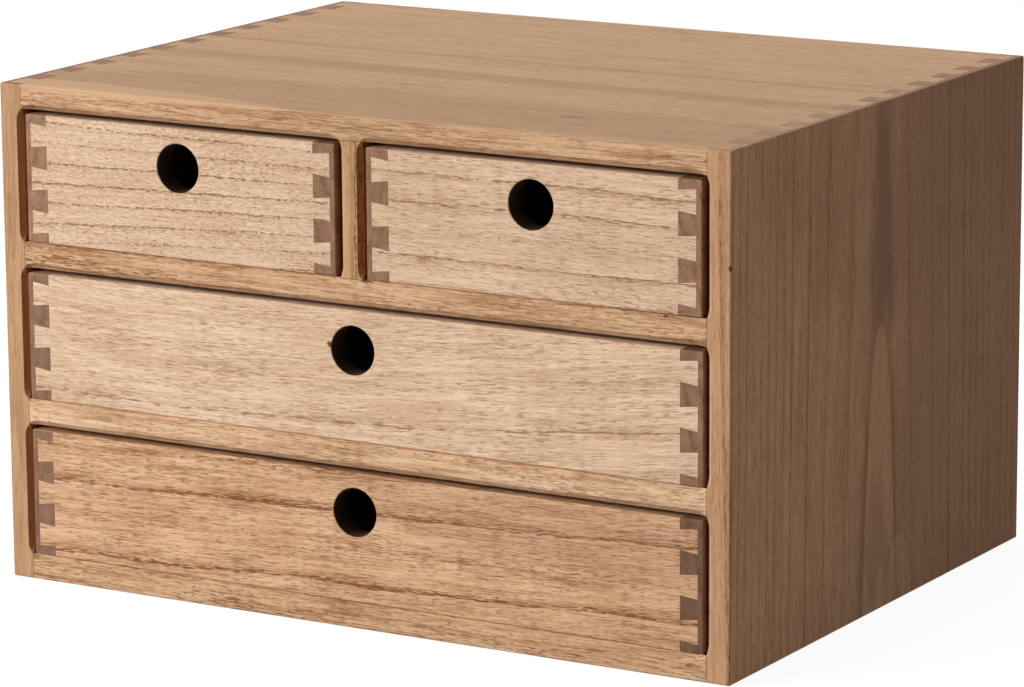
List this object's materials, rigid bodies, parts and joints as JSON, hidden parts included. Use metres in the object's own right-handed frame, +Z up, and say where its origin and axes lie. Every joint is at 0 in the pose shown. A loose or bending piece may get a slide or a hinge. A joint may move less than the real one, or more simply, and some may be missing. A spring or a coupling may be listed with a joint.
{
  "type": "desktop mini drawers",
  "caption": "Small wooden desktop chest of drawers, small ones side by side above wide ones, with dovetailed corners and round finger holes.",
  "frame": {"origin": "middle of the underside, at the centre of the chest's width and depth", "axes": "+X to the right seen from the front, +Y to the back, +Z up"},
  "size_m": [0.33, 0.254, 0.203],
  "materials": {
    "case_wood": "stained, satin",
    "drawer_front_wood": "light stain, satin",
    "drawer_wood": "light stain, satin",
    "panel_wood": "sanded"
  },
  "bodies": {
    "case": {"left_side": "case_wood", "right_side": "case_wood", "top_panel": "case_wood", "bottom_panel": "case_wood", "upper_shelf": "case_wood", "lower_shelf": "case_wood", "centre_divider": "case_wood", "back_panel": "panel_wood"},
    "upper_left_drawer": {"upper_left_drawer_front": "drawer_front_wood", "upper_left_drawer_left_side": "drawer_wood", "upper_left_drawer_right_side": "drawer_wood", "upper_left_drawer_back": "drawer_wood", "upper_left_drawer_bottom": "panel_wood"},
    "upper_right_drawer": {"upper_right_drawer_front": "drawer_front_wood", "upper_right_drawer_left_side": "drawer_wood", "upper_right_drawer_right_side": "drawer_wood", "upper_right_drawer_back": "drawer_wood", "upper_right_drawer_bottom": "panel_wood"},
    "middle_drawer": {"middle_drawer_front": "drawer_front_wood", "middle_drawer_left_side": "drawer_wood", "middle_drawer_right_side": "drawer_wood", "middle_drawer_back": "drawer_wood", "middle_drawer_bottom": "panel_wood"},
    "lower_drawer": {"lower_drawer_front": "drawer_front_wood", "lower_drawer_left_side": "drawer_wood", "lower_drawer_right_side": "drawer_wood", "lower_drawer_back": "drawer_wood", "lower_drawer_bottom": "panel_wood"}
  },
  "joints": [
    {"name": "upper_left_drawer_slide", "type": "slide", "parent": "case", "child": "upper_left_drawer", "axis": [0, -1, 0], "range_m": [0, 0.2]},
    {"name": "upper_right_drawer_slide", "type": "slide", "parent": "case", "child": "upper_right_drawer", "axis": [0, -1, 0], "range_m": [0, 0.2]},
    {"name": "middle_drawer_slide", "type": "slide", "parent": "case", "child": "middle_drawer", "axis": [0, -1, 0], "range_m": [0, 0.2]},
    {"name": "lower_drawer_slide", "type": "slide", "parent": "case", "child": "lower_drawer", "axis": [0, -1, 0], "range_m": [0, 0.2]}
  ]
}
